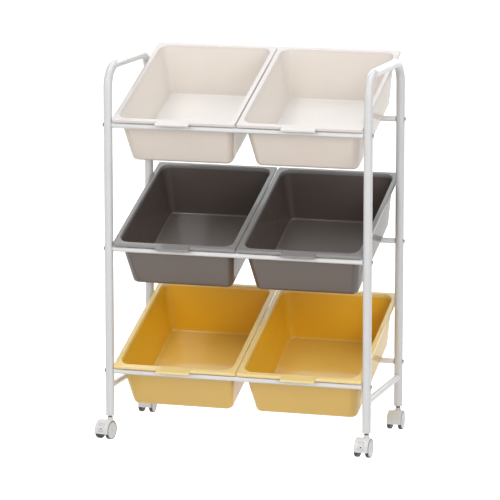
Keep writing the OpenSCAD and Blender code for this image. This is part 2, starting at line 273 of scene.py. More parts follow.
@dataclass(frozen=True)
class BinPlastic:
    """Semi-gloss moulded plastic of the bins; heights above the bin's underside in metres."""

    name: str
    base: Colour
    deep: Colour
    # Painted light: the rim's tone stands in for its reflections, lighter on the grey and yellow bins and darker on the
    # cream.
    rim_painted_light: Colour
    # Painted light and shade: the outer walls' tone stands in for how light falls on them.
    outer_painted_light: Colour
    # Painted light: the inner floor's lighter tone stands in for its milky reflection.
    floor_painted_light: Colour
    scatter: float
    rim_coat: float = 1.0
    outer_coat: float = 0.5
    rim: Flat = (0.104, 0.108)
    floor: Flat = (0.003, 0.007)
    rough: float = 0.38

    def make(self) -> bpy.types.Material:
        """Builds the material.

        Returns:
            Plastic with flow clouds, grain and a wavy gloss, duller outside, with painted light in the tones of the
            rim, the outer walls and the inner floor.
        """
        g = Paint(self.name)
        flow = g.noise(110.0, 2.0, 0.5, (1.0, 0.6, 1.6))
        cloud = g.noise(18.0, 3.0, 0.6)
        grain = g.noise(0.9, 1.0, 0.4)
        wave = g.noise(34.0, 1.0, 0.4)
        height, patchy = g.mark("own_height"), 0.8 + cloud * 0.2
        rim = height.above(*self.rim)
        outside = g.mark("outside") * (1.0 - rim)
        # Painted light: the inner floor below these heights gets a lighter, patchy tone that stands in for its milky
        # reflection.
        bottom = (1.0 - height.above(*self.floor)) * (1.0 - outside)
        tone = g.mix(self.base, self.deep, flow.above(0.25, 0.8) * 0.7 + cloud * 0.3)
        # Painted light and shade: the outer walls get a tone that stands in for the light they catch.
        tone = g.mix(g.mix(tone, self.outer_painted_light, outside), self.floor_painted_light, bottom * patchy)
        # Painted light: the rim gets its own tone that stands in for the rim's reflections.
        g.set(Base_Color=g.mix(tone, self.rim_painted_light, rim * patchy))
        g.set(Roughness=self.rough + cloud * 0.16 + outside * 0.08)
        g.set(Normal=g.bump(grain, 0.02, 0.2, g.bump(wave, 0.4, 0.3)), Coat_Roughness=0.1)
        g.set(Coat_Weight=1.0 - outside * (1.0 - self.outer_coat) - rim * (1.0 - self.rim_coat))
        g.set(Subsurface_Weight=self.scatter, Subsurface_Radius=(0.004, 0.003, 0.002), Subsurface_Scale=1.0)
        return g.material


@dataclass(frozen=True)
class MouldedWhite:
    """White plastic of hoods, covers and foot sockets."""

    name: str
    base: Colour
    rough: float

    def make(self) -> bpy.types.Material:
        """Builds the material.

        Returns:
            White plastic with a fine grain and light dust.
        """
        g = Paint(self.name)
        dust = g.noise(5.0, 4.0, 0.65).above(0.45, 0.85)
        grain = g.noise(0.7, 1.0, 0.4)
        g.set(Base_Color=g.mix(self.base, tuple(c * 0.9 for c in self.base), dust))
        g.set(Roughness=self.rough + dust * 0.15, Normal=g.bump(grain, 0.03, 0.3))
        return g.material


@dataclass(frozen=True)
class TreadPlastic:
    """Dark plastic of the wheel treads."""

    name: str = "tread_dark"
    base: Colour = (0.022, 0.019, 0.018)
    dusty: Colour = (0.075, 0.068, 0.062)

    def make(self) -> bpy.types.Material:
        """Builds the material.

        Returns:
            Dark tread with dust and fine wear marks.
        """
        g = Paint(self.name)
        dust = g.noise(3.0, 5.0, 0.7).above(0.5, 0.85)
        wear = g.noise(1.0, 2.0, 0.6)
        g.set(Base_Color=g.mix(self.base, self.dusty, dust))
        g.set(Roughness=0.5 + dust * 0.3, Normal=g.bump(wear, 0.08, 0.4))
        return g.material


@dataclass(frozen=True)
class PlatedSteel:
    """Plated steel of screws, stems, axles and pins."""

    name: str
    base: Colour
    rough: float

    def make(self) -> bpy.types.Material:
        """Builds the material.

        Returns:
            Metal with fine turning marks and uneven gloss.
        """
        g = Paint(self.name)
        turning = g.noise(0.5, 2.0, 0.6)
        spot = g.noise(3.0, 3.0, 0.6)
        g.set(Base_Color=g.mix(self.base, tuple(c * 0.75 for c in self.base), spot), Metallic=1.0)
        g.set(Roughness=self.rough + spot * 0.12, Normal=g.bump(turning, 0.02, 0.3))
        return g.material


class Finish(Enum):
    """All finishes of the rack."""

    frame_white = PowderCoat()
    # Painted light: a lighter copy of the frame's powder coat, so the bars read brighter than the posts.
    bar_white = PowderCoat("powder_coat_bars_painted_light", (0.79, 0.79, 0.79), (0.76, 0.76, 0.765))
    bin_cream = BinPlastic("bin_plastic_cream", (0.80, 0.75, 0.70), (0.78, 0.72, 0.66), (0.745, 0.695, 0.678),
                           (0.78, 0.69, 0.61), (0.83, 0.80, 0.78), 0.12, 0.3)
    bin_grey = BinPlastic("bin_plastic_grey", (0.098, 0.074, 0.063), (0.09, 0.066, 0.056), (0.235, 0.23, 0.23),
                          (0.103, 0.077, 0.064), (0.165, 0.145, 0.136), 0.03)
    bin_yellow = BinPlastic("bin_plastic_yellow", (0.91, 0.535, 0.018), (0.89, 0.505, 0.014), (0.96, 0.73, 0.3),
                            (0.745, 0.46, 0.065), (0.9, 0.59, 0.11), 0.08)
    socket_white = MouldedWhite("socket_plastic", (0.74, 0.74, 0.74), 0.4)
    caster_white = MouldedWhite("hood_plastic", (0.76, 0.755, 0.75), 0.3)
    hub_white = MouldedWhite("hub_plastic", (0.72, 0.72, 0.71), 0.35)
    tyre_dark = TreadPlastic()
    steel_dark = PlatedSteel("steel_dark", (0.16, 0.15, 0.15), 0.35)
    steel_plain = PlatedSteel("steel_zinc", (0.55, 0.56, 0.58), 0.3)
    steel_screw = PlatedSteel("steel_screw", (0.5, 0.5, 0.51), 0.35)

    @property
    def slot(self) -> str:
        """The record's material slot."""
        return {"bar_white": "frame_white", "steel_screw": "steel_dark"}.get(self.name, self.name)


def turns(steps: int) -> list[float]:
    """Angles of even steps round a circle, in radians."""
    return [2 * math.pi * i / steps for i in range(steps)]


def spread(low: float, high: float, steps: int) -> list[float]:
    """Numbers at even steps from low to high, both included."""
    return [low + (high - low) * i / steps for i in range(steps + 1)]


def arc(cx: float, cy: float, r: float, start: float, end: float, steps: int) -> list[Flat]:
    """Points on an arc about (cx, cy), from start to end in degrees, both included."""
    return [(cx + r * math.cos(t), cy + r * math.sin(t)) for t in map(math.radians, spread(start, end, steps))]


def quarter(r: float, angles: Iterable[float]) -> list[Flat]:
    """Points of a quarter round, each as its distances from the two faces that it joins."""
    return [(r * (1 - math.sin(t)), r * (1 - math.cos(t))) for t in map(math.radians, angles)]


def link(a: Point, b: Point, steps: int) -> list[Point]:
    """Points at even steps between a and b, both left out."""
    return [tuple(p + (q - p) * i / steps for p, q in zip(a, b)) for i in range(1, steps)]


class Shape:
    """Points and faces of one piece, in mm, and values that its points carry."""

    def __init__(self) -> None:
        """Starts empty."""
        self.points: list[Point] = []
        self.faces: list[list[int]] = []
        self.marks: dict[str, list[float]] = {}

    def ring(self, points: Iterable[Point]) -> list[int]:
        """Adds the points of one ring.

        Args:
            points: the points.

        Returns:
            Their numbers.
        """
        start = len(self.points)
        self.points.extend(points)
        return list(range(start, len(self.points)))

    def bridge(self, a: Sequence[int], b: Sequence[int]) -> None:
        """Joins two rings; a runs left to right as seen from outside when b lies above it."""
        n = len(a)
        self.faces.extend([a[i], a[(i + 1) % n], b[(i + 1) % n], b[i]] for i in range(n))

    def cap(self, ring: Sequence[int], flip: bool) -> None:
        """Closes a ring with one face, turned over if flip is set."""
        self.faces.append(list(reversed(ring)) if flip else list(ring))

    def stack(self, rings: Iterable[Iterable[Point]], flip: bool = False, loop: bool = False) -> None:
        """Joins rings in order.

        Args:
            rings: rings of the same length.
            flip: turns the end faces over.
            loop: joins the last ring to the first, with no end faces.
        """
        made = [self.ring(r) for r in rings]
        for a, b in zip(made, made[1:] + (made[:1] if loop else [])):
            self.bridge(a, b)
        if not loop:
            self.cap(made[0], not flip)
            self.cap(made[-1], flip)

    def lathe(self, profile: Iterable[Flat], where: Callable[[float, float, float], Point], steps: int,
              closed: bool = False) -> None:
        """Turns a profile about an axis.

        Args:
            profile: radius and height of each point; a radius of 0 closes an end.
            where: places radius times cosine, radius times sine and height in space.
            steps: points round the axis.
            closed: joins the last profile point to the first.
        """
        rings = []
        for r, h in profile:
            angles = turns(steps) if r > 0 else [0.0]
            rings.append(self.ring(where(r * math.cos(t), r * math.sin(t), h) for t in angles))
        for a, b in zip(rings, rings[1:] + (rings[:1] if closed else [])):
            if len(a) > 1 and len(b) > 1:
                self.bridge(a, b)
            elif len(b) > 1:
                self.faces.extend([a[0], b[(i + 1) % steps], b[i]] for i in range(steps))
            elif len(a) > 1:
                self.faces.extend([a[i], a[(i + 1) % steps], b[0]] for i in range(steps))

    def sweep(self, path: Sequence[Vector], outline: Sequence[Flat]) -> None:
        """Draws an outline along an open path in the plane x = 0.

        Args:
            path: points of the path.
            outline: offsets along X and along the path's normal.
        """
        side, rings = Vector((1.0, 0.0, 0.0)), []
        for i, p in enumerate(path):
            ahead = (path[min(len(path) - 1, i + 1)] - path[max(0, i - 1)]).normalized()
            normal = ahead.cross(side).normalized()
            rings.append([tuple(p + side * a + normal * b) for a, b in outline])
        self.stack(rings)

    def make(self, name: str, matrix: Matrix, sharp: float) -> bpy.types.Object:
        """Makes the piece's object in metres.

        Args:
            name: the piece's name.
            matrix: its place, which goes into the mesh.
            sharp: edges bent by more than this many degrees stay sharp.

        Returns:
            The object, linked to the scene.
        """
        mesh = bpy.data.meshes.new(name)
        mesh.from_pydata([(x * MM, y * MM, z * MM) for x, y, z in self.points], [], self.faces)
        mesh.validate()
        mesh.shade_smooth()
        mesh.set_sharp_from_angle(angle=math.radians(sharp))
        for word, values in self.marks.items():
            mesh.attributes.new(word, "FLOAT", "POINT").data.foreach_set("value", values)
        mesh.transform(matrix)
        piece = bpy.data.objects.new(name, mesh)
        bpy.context.scene.collection.objects.link(piece)
        return piece


class Dresser:
    """Makes each finish once, and makes pieces with their finish, body and CAD node."""

    def __init__(self) -> None:
        """Starts with no material made."""
        self.made: dict[Finish, bpy.types.Material] = {}

    def dress(self, piece: bpy.types.Object, finish: Finish) -> None:
        """Gives a piece its only material.

        Args:
            piece: the piece or CAD object.
            finish: the finish, whose material is made at its first use.
        """
        if finish not in self.made:
            self.made[finish] = finish.value.make()
        piece.data.materials.clear()
        piece.data.materials.append(self.made[finish])

    def fit(self, shape: Shape, name: str, body: str, node: str, finish: Finish,
            matrix: Matrix = Matrix.Identity(4), sharp: float = 40.0) -> None:
        """Makes and dresses a piece that rides on a body in place of a CAD node.

        Args:
            shape: the piece's shape.
            name: its name.
            body: the body it rides on.
            node: the CAD node it replaces.
            finish: its finish.
            matrix: its place, with the shift in metres.
            sharp: edges bent by more than this many degrees stay sharp.
        """
        piece = shape.make(name, matrix, sharp)
        self.dress(piece, finish)
        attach(piece, body)
        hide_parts(node)
        log.info("%s: %d faces", name, len(piece.data.polygons))


@dataclass
class Assembly:
    """A sub-assembly, with the sizes it shares and the maker of its pieces; own sizes in mm and degrees."""

    rack: RackSizes
    dresser: Dresser


@dataclass
class Bin(Assembly):
    """One moulded bin with its rim, skirt and grip tab; rims and drafts are those of front, back and sides."""

    width: float = 277.5
    gap: float = 3.0
    length: float = 351.0
    depth: float = 113.0
    hook_drop: float = 16.2
    bar_clear: float = 0.3
    rims: Point = (10.0, 8.0, 8.5)
    rim_t: float = 2.0
    rim_drop: float = 7.0
    rim_corner: float = 4.5
    rim_soft: float = 2.5
    rim_edge: float = 1.8
    lip: float = 0.7
    fillet: float = 0.8
    wall: float = 1.8
    floor: float = 2.0
    drafts: Point = (5.5, 14.5, 8.5)
    corner_top: float = 25.0
    corner_low: float = 14.0
    foot: float = 9.0
    foot_inside: float = 4.0
    grip_w: float = 77.0
    grip_l: float = 13.0
    grip_h: float = 4.5
    grip_corner: float = 4.0
    grip_fillet: float = 1.5
    corner_steps: int = 14
    side_steps: int = 8
    grip_steps: int = 4
    sharp: float = 50.0

    def __post_init__(self) -> None:
        """Works out the tilt and the place of the hook from the sizes."""
        seat = self.rack.bar_r + self.bar_clear
        self.tilt = math.asin((self.depth - self.hook_drop + seat) / (2 * self.rack.post_y))
        slope = math.radians(self.drafts[0])
        self.hook_u = self.rims[0] + self.hook_drop * math.tan(slope) - seat / math.cos(slope)

    def _foot_in(self, z: float, slope: float, r: float) -> float:
        """How far the foot with radius r stands inside a wall with this slope, z above the body's bottom."""
        z = min(z, r * (1 - math.sin(slope)))
        return r * math.tan(math.pi / 4 - slope / 2) - math.sqrt(r * r - (r - z) ** 2) + z * math.tan(slope)

    def _front_row(self, front: float, start: float, grip: Optional[float]) -> list[Point]:
        """The front side's points, each with its share of the grip tab's height in place of Z.

        Args:
            front: place of the front side.
            start: X where the left corner ends.
            grip: inset of the ring inside the rim's outline, or None where the ring has no grip tab.

        Returns:
            The points from left to right.
        """
        inset, n = grip or 0.0, self.grip_steps
        w = self.grip_w / 2 - inset
        f = self.grip_fillet + inset
        c = max(0.5, self.grip_corner - inset)
        reach = front - self.grip_l
        edge = -self.grip_w / 2 - self.grip_fillet
        left = [(x, front, 0.0) for x in spread(start, edge, n)[1:-1]]
        left += [(x, y, i / 5) for i, (x, y) in enumerate(arc(-w - f, front - f, f, 90, 0, 5))]
        left += [(x, y, 1.0) for x, y in arc(-w + c, reach + c, c, 180, 270, 8)]
        left += [(x, reach, 1.0) for x in spread(c - w, 0.0, n)[1:-1]]
        if grip is not None:
            return left + [(0.0, reach, 1.0)] + [(-x, y, g) for x, y, g in reversed(left)]
        spots = [x for x, _, _ in left[:n - 1]] + spread(edge, edge + f + c, 14)
        spots += [x for x, _, _ in left[1 - n:]]
        return [(x, front, 0.0) for x in spots + [0.0] + [-x for x in reversed(spots)]]

    def _outline(self, front: float, back: float, half: float, r: float, grip: Optional[float],
                 heights: Flat) -> list[Point]:
        """One closed ring round the bin, with the same number of points for each ring.

        Args:
            front: place of the front side.
            back: place of the back side.
            half: half width.
            r: corner radius.
            grip: as in _front_row.
            heights: height of the ring, and its height at the grip tab.

        Returns:
            The points.
        """
        n, (z, z_grip), x, far, near = self.side_steps, heights, half - r, back - r, front + r
        a, b, c, d = ([(u, v, z) for u, v in arc(x * sign, y, r, start, start + 90, self.corner_steps)]
                      for sign, y, start in ((1, far, 0), (-1, far, 90), (-1, near, 180), (1, near, 270)))
        row = [(u, v, z + (z_grip - z) * g) for u, v, g in self._front_row(front, -x, grip)]
        return a + link(a[-1], b[0], n) + b + link(b[-1], c[0], n) + c + row + d + link(d[-1], a[0], n)

    def _body_ring(self, z: float, inside: bool, out: float = 0.0) -> list[Point]:
        """One ring of the body's wall.

        Args:
            z: height above the underside.
            inside: takes the inner face instead of the outer one.
            out: moves the ring outwards by this much.

        Returns:
            The points.
        """
        low, r = (self.floor, self.foot_inside) if inside else (0.0, self.foot)
        d, slopes = self.depth, [math.radians(s) for s in self.drafts]
        walls = [self.wall / math.cos(s) if inside else 0.0 for s in slopes]
        ins = [self._foot_in(max(0.0, z - low), s, r) + w - out for s, w in zip(slopes, walls)]
        front, back, side = (rim + (d - z) * math.tan(s) + i for rim, s, i in zip(self.rims, slopes, ins))
        radius = max(1.0, self.corner_low + (self.corner_top - self.corner_low) * z / d - ins[2])
        return self._outline(front, self.length - back, self.width / 2 - side, radius, None, (z, z))

    def _rim_ring(self, inset: float, z: float, z_grip: float) -> list[Point]:
        """One ring of the rim, set in from its outline, with its height and its height at the grip tab."""
        half = self.width / 2 - inset
        return self._outline(inset, self.length - inset, half, self.rim_corner - inset, inset, (z, z_grip))

    def _inner_rings(self) -> list[list[Point]]:
        """Rings from the inner floor up to the rim's top.

        Returns:
            The rings.
        """
        top, soft, low = self.depth, self.rim_soft, self.floor + self.foot_inside
        rings = [self._body_ring(self.floor, True, -self.fillet)]
        rings += [self._body_ring(self.floor + up, True) for _, up in quarter(self.foot_inside, range(0, 91, 15))]
        for share in (0.01, 0.25, 0.5, 0.75, 0.99, 1.0):
            rings.append(self._body_ring(low + (top - soft - 0.1 - low) * share, True))
        rings += [self._body_ring(top - down, True, out) for down, out in quarter(soft, range(15, 91, 15))]
        return rings + [self._body_ring(top, True, soft + 0.3)]

    def _outer_rings(self) -> list[list[Point]]:
        """Rings from the rim's top over its edge and skirt down to the underside.

        Returns:
            The rings.
        """
        top, edge, lip = self.depth, self.rim_edge, self.lip
        rings = [self._rim_ring(edge + 0.3, top, top)]
        for inset, down in quarter(edge, (0, 20, 40, 60, 80, 90)):
            rings.append(self._rim_ring(inset, top - down, top - down))
        low, low_grip = top - self.rim_drop, top - self.grip_h
        for share in (0.08, 0.5, 0.92, 1.0):
            z, g = (top - edge + (e + lip - top + edge) * share for e in (low, low_grip))
            rings.append(self._rim_ring(0.0, z, g))
        for start, sign, angles in ((0.0, 1, (45, 90)), (self.rim_t, -1, (90, 45, 0))):
            for lift, step in quarter(lip, angles):
                rings.append(self._rim_ring(start + sign * step, low + lift, low_grip + lift))
        under = top - self.rim_t
        rings.append(self._rim_ring(self.rim_t, under - self.fillet, under - self.fillet))
        rings.append(self._rim_ring(self.rim_t + self.fillet, under, under))
        rings += [self._body_ring(under, False, 1.0), self._body_ring(under - 0.3, False, 0.3)]
        for share in (0.0, 0.33, 0.67, 1.0):
            rings.append(self._body_ring(under - 1.0 - (under - 1.0 - self.foot) * share, False))
        rings += [self._body_ring(up, False) for _, up in quarter(self.foot, range(75, -1, -15))]
        return rings + [self._body_ring(0.0, False, -self.fillet)]

    def shape(self) -> Shape:
        """The bin's whole surface, upright on z = 0, with marks of height and outside for its plastic.

        Returns:
            The shape.
        """
        made, inner, outer_painted_light = Shape(), self._inner_rings(), self._outer_rings()
        made.stack(inner + outer_painted_light, flip=True)
        n = len(inner[0])
        made.marks["own_height"] = [z * MM for _, _, z in made.points]
        made.marks["outside"] = [0.0] * (n * len(inner)) + [1.0] * (n * len(outer_painted_light))
        return made

    def place(self, tier: Tier, side: Side) -> Matrix:
        """Where a bin sits.

        Args:
            tier: its tier.
            side: its side.

        Returns:
            The matrix from the upright bin to the rack.
        """
        x = side.value * (self.width + self.gap) / 2
        seat = Vector((x, -self.rack.post_y, self.rack.bar_height(tier))) * MM
        shift = Vector((0.0, -self.hook_u, self.hook_drop - self.depth)) * MM
        return Matrix.Translation(seat) @ Matrix.Rotation(self.tilt, 4, "X") @ Matrix.Translation(shift)

    def build(self) -> None:
        """Makes all six bins."""
        shape = self.shape()
        tones = {Tier.TOP: Finish.bin_cream, Tier.MIDDLE: Finish.bin_grey, Tier.LOW: Finish.bin_yellow}
        for tier, finish in tones.items():
            for side in Side:
                name = f"{tier.name}_{side.name}".lower()
                place = self.place(tier, side)
                self.dresser.fit(shape, f"moulded_bin_{name}", f"{name}_bin", f"bin_{name}", finish, place, self.sharp)


@dataclass
class SideFrame(Assembly):
    """Bent tube with its welded rung."""

    top: float = 825.0
    bend: float = 50.0
    foot: float = 51.5
    rung_r: float = 7.0
    rung_z: float = 114.5
    rung_sunk: float = 4.0
    bead: float = 1.0
    ripple: float = 0.12
    ripples: int = 14

    def _tube_path(self) -> list[Vector]:
        """Centre line of the bent tube, in the plane x = 0.

        Returns:
            The points from the front foot over the handle to the back foot.
        """
        y, z = self.rack.post_y, self.top - self.rack.post_r
        side = [(-y, h) for h in spread(self.foot, z - self.bend, 12)[:-1]]
        side += arc(-y + self.bend, z - self.bend, self.bend, 180, 90, 20)
        side += [(a, z) for a in spread(self.bend - y, 0.0, 4)[1:-1]]
        return [Vector((0.0, a, b)) for a, b in side + [(0.0, z)] + [(-a, b) for a, b in reversed(side)]]

    def _weld(self, shape: Shape, sign: int) -> None:
        """Adds the weld bead where the rung meets a post.

        Args:
            shape: the shape that takes it.
            sign: -1 for the front post, 1 for the back post.
        """
        rings, along = [], Vector((0.0, float(sign), 0.0))
        for t in turns(72):
            x, z = self.rung_r * math.cos(t), self.rung_r * math.sin(t)
            y = sign * (self.rack.post_y - math.sqrt(self.rack.post_r ** 2 - x * x))
            centre, out = Vector((x, y, self.rung_z + z)), Vector((math.cos(t), 0.0, math.sin(t)))
            r = self.bead * (1.0 + self.ripple * math.sin(self.ripples * t))
            rings.append([tuple(centre + out * a + along * b) for a, b in arc(0, 0, r, 0, 315, 7)])
        shape.stack(rings, loop=True)

    def build(self) -> None:
        """Makes both side frames."""
        shape = Shape()
        shape.sweep(self._tube_path(), arc(0, 0, self.rack.post_r, 0, 352.5, 47))
        reach = self.rack.post_y - self.rung_sunk
        rung = [Vector((0.0, y, self.rung_z)) for y in spread(-reach, reach, 6)]
        shape.sweep(rung, arc(0, 0, self.rung_r, 0, 350, 35))
        for sign in (-1, 1):
            self._weld(shape, sign)
        for side in Side:
            word, shift = side.name.lower(), Vector((side.value * self.rack.post_x * MM, 0.0, 0.0))
            self.dresser.fit(shape, f"tube_frame_{word}", "rack", f"{word}_side_frame", Finish.frame_white,
                             Matrix.Translation(shift))


@dataclass
class CrossBars(Assembly):
    """The six bars with flat-cut ends, and the screws that hold them."""

    clear: float = 0.05
    edge: float = 0.5
    wall: float = 1.2
    bore: float = 16.0
    head_r: float = 4.75
    head_h: float = 2.8
    head_rim: float = 0.8
    shank_r: float = 3.0
    socket: float = 4.0
    socket_deep: float = 2.0
    screw_steps: int = 48
    screw_sharp: float = 35.0

    def _bar(self) -> Shape:
        """One bar about the X axis.

        Returns:
            The shape.
        """
        half = self.rack.post_x - self.rack.post_r - self.clear
        r, e, inner = self.rack.bar_r, self.edge, self.rack.bar_r - self.wall
        right = [(r, 0.0), (r, half * 0.5), (r, half - e), (r - e * 0.3, half - e * 0.3), (r - e, half),
                 (inner, half), (inner, half - self.bore), (0.0, half - self.bore)]
        shape = Shape()
        shape.lathe([(a, -b) for a, b in reversed(right)] + right[1:], lambda a, b, h: (h, a, b), 40)
        return shape

    def _screw(self, shape: Shape, spot: Point, sign: int) -> None:
        """Adds one screw head with its hexagon socket.

        Args:
            shape: the shape that takes it.
            spot: middle of the head's underside.
            sign: direction of the head along X.
        """
        n, r, rim = self.screw_steps, self.head_r, self.head_h - self.head_rim
        dome = (r ** 2 + rim ** 2) / 2 / rim
        base = self.head_h - dome
        profile = [(self.shank_r, -self.shank_r), (self.shank_r, 0.0), (r - 0.2, 0.0), (r, 0.2), (r, 0.7)]
        profile += [(r * s, base + math.sqrt(dome * dome - (r * s) * (r * s))) for s in (0.97, 0.9, 0.8, 0.7, 0.6)]
        rounds = [[(r, h)] * n for r, h in profile]
        flat = self.socket / 2
        hexagon = [flat / math.cos((t + math.pi / 6) % (math.pi / 3) - math.pi / 6) for t in turns(n)]
        top = base + math.sqrt(dome * dome - flat * flat)
        for grow, h in ((1.06, top), (1.0, top - 0.15), (1.0, self.head_h - self.socket_deep)):
            rounds.append([(r * grow, h) for r in hexagon])
        x, y, z = spot
        rings = [shape.ring((x + sign * h, y + r * math.cos(t), z + r * math.sin(t))
                            for t, (r, h) in zip(turns(n), one)) for one in rounds]
        for a, b in zip(rings, rings[1:]):
            shape.bridge(*((a, b) if sign > 0 else (b, a)))
        shape.cap(rings[-1], sign < 0)

    def build(self) -> None:
        """Makes all bars and screw heads."""
        bar, heads = self._bar(), Shape()
        for tier in Tier:
            z = self.rack.bar_height(tier)
            for word, sign in (("front", -1), ("rear", 1)):
                y, name = sign * self.rack.post_y, f"bar_{tier.name.lower()}_{word}"
                shift = Matrix.Translation(Vector((0.0, y, z)) * MM)
                self.dresser.fit(bar, f"tube_{name}", "rack", name, Finish.bar_white, shift)
                for end in (-1, 1):
                    self._screw(heads, (end * (self.rack.post_x + self.rack.post_r + self.clear), y, z), end)
        self.dresser.fit(heads, "screw_heads", "rack", "frame_screws", Finish.steel_screw, sharp=self.screw_sharp)
        self.dresser.dress(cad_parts["bar_inserts"], Finish.steel_plain)


@dataclass
class Caster(Assembly):
    """A hooded caster with two wheels on one axle, measured from the floor point under its stem.

    Angles of the hood, lever and pin are taken about the axle, above straight ahead.
    """

    corner: Corner
    wheel_r: float = 20.0
    trail: float = 20.0
    wheel_in: float = 8.8
    tyre_w: float = 7.6
    hub_r: float = 18.6
    boss_r: float = 5.5
    disc: float = 1.4
    hood_r: float = 22.8
    hood_wall: float = 1.6
    hood_half: float = 16.0
    hood_edge: float = 14.5
    shoulder: float = 2.3
    web_half: float = 8.4
    slot_half: float = 6.2
    slot_soft: float = 0.4
    slot_low: float = 1.0
    slot_high: float = 47.0
    slot_r: float = 13.0
    recess_r: float = 21.0
    recess_clear: float = 2.5
    lever_half: float = 5.9
    lever_in: float = 19.2
    lever_low: float = 2.5
    lever_high: float = 33.0
    lever_edge: float = 0.8
    dimple_r: float = 1.75
    dimple_a: float = 15.0
    pin_r: float = 17.4
    pin_a: float = 25.0
    lug_r: float = 2.7
    post_foot: float = 49.0
    collar_h: float = 4.75
    stem_foot: float = 24.0
    sharp: float = 35.0
    neck: tuple[Flat, ...] = ((0.0, 18.0), (7.5, 18.0), (7.5, 37.5), (7.0, 39.2), (6.2, 39.9), (5.75, 41.0),
                              (5.75, 43.6), (5.35, 44.2), (0.0, 44.2))
    bridge: tuple[Flat, ...] = ((-7.5, 35.0), (-7.0, 36.4), (-5.6, 37.0), (5.6, 37.0), (7.0, 36.4), (7.5, 35.0),
                                (7.5, 20.0), (-7.5, 20.0))
    bead: tuple[Flat, ...] = ((4.0, 75.7), (4.4, 75.9), (4.4, 77.1), (4.0, 77.3), (4.0, 79.0), (3.0, 80.4), (0.0, 80.4))

    def __post_init__(self) -> None:
        """Works out where the caster stands, and how many degrees one mm on the hood takes."""
        turn = Matrix.Rotation(math.radians(self.corner.turn), 4, "Z")
        self.place = Matrix.Translation(self.corner.spot(self.rack)) @ turn
        self.per_mm = math.degrees(1.0 / self.hood_r)

    def _polar(self, x: float, r: float, angle: float) -> Point:
        """A point x along the axle, r from it, at an angle."""
        t = math.radians(angle)
        return (x, -self.trail - r * math.cos(t), self.wheel_r + r * math.sin(t))

    def _round_axle(self, a: float, b: float, h: float) -> Point:
        """Places a lathe's point with its axis on the axle."""
        return (h, -self.trail + a, self.wheel_r + b)

    def _band(self, shape: Shape, ends: Flat, rounds: Flat, inner: float, angles: Flat) -> None:
        """Sweeps a band with rounded shoulders round the axle.

        Args:
            shape: the shape that takes it.
            ends: lowest and highest distance along the axle.
            rounds: radius of each shoulder.
            inner: distance of the inner face from the axle.
            angles: first and last angle.
        """
        r, (left, right), (a, b) = self.hood_r, ends, rounds
        section = [(left, min(inner, r - a - 0.1))]
        section += arc(left + a, r - a, a, 180, 90, 5) if a else [(left, r)]
        section += arc(right - b, r - b, b, 90, 0, 5) if b else [(right, r)]
        section.append((right, min(inner, r - b - 0.1)))
        steps = max(2, round((angles[1] - angles[0]) / 5))
        shape.stack([self._polar(x, q, t) for x, q in section] for t in spread(*angles, steps))

    def _fan(self, r: float, low: float, high: float, steps: int) -> list[Point]:
        """Points at even angles round the axle, both ends included."""
        return [self._polar(0.0, r, a) for a in spread(low, high, steps)]

    def _hood(self) -> Shape:
        """The hood with its web, its neck and the recess for the brake lever.

        Returns:
            The shape.
        """
        s, braked = Shape(), self.corner.braked
        low = math.degrees(math.asin((self.hood_edge - self.wheel_r) / self.hood_r))
        high, inner = 180.0 - low, self.hood_r - self.hood_wall
        half, slot, soft, edge = self.hood_half, self.slot_half, self.slot_soft, inner + 0.4
        full = self._fan(edge, low, high, 40)
        cores = [(full, -self.web_half, self.web_half)]
        if braked:
            self._band(s, (-half, -slot), (self.shoulder, soft), inner, (low, high))
            self._band(s, (slot, half), (soft, self.shoulder), inner, (low, high))
            for angles in ((low, self.slot_low), (self.slot_high, high)):
                self._band(s, (-slot - soft, slot + soft), (0.0, 0.0), inner - 3.0, angles)
            step = self.lever_high + self.recess_clear
            cut = self._fan(edge, low, self.slot_low, 6) + self._fan(self.slot_r, self.slot_low, step, 8)
            cut += self._fan(self.recess_r, step, self.slot_high, 4) + self._fan(edge, self.slot_high, high, 30)
            cores = [(full, -self.web_half, -slot), (full, slot, self.web_half), (cut, -slot, slot)]
        else:
            self._band(s, (-half, half), (self.shoulder, self.shoulder), inner, (low, high))
        for core, left, right in cores:
            s.stack([(x, y, z) for _, y, z in core] for x in (left, right))
        s.lathe(self.neck, lambda a, b, h: (a, b, h), 40)
        s.stack([(x, y, z) for x, z in self.bridge] for y in (0.0, -self.trail))
        return s

    def _hub(self, sign: int) -> Shape:
        """A wheel's centre with its ringed cover.

        Args:
            sign: side of the axle.

        Returns:
            The shape.
        """
        a, b, r, q = self.wheel_in, self.wheel_in + self.tyre_w, self.hub_r, self.boss_r - 0.1
        back = [(0.0, a), (q - 0.4, a), (q, a + 0.4), (q, a + self.disc), (r, a + self.disc)]
        cover = [(r, -0.5), (r - 0.4, -0.3), (r - 1.0, 0.1), (r - 1.7, 0.45), (r - 2.8, 0.7), (r - 4.0, 0.85),
                 (r - 5.5, 0.9), (r - 5.9, 0.75), (r - 6.2, 0.3), (r - 6.6, 0.2), (q + 0.8, 0.2), (q + 0.4, 0.3),
                 (q + 0.1, 0.7), (q - 0.3, 0.9), (0.0, 0.9)]
        shape = Shape()
        shape.lathe([(u, sign * h) for u, h in back + [(u, b + h) for u, h in cover]][::sign], self._round_axle, 56)
        return shape

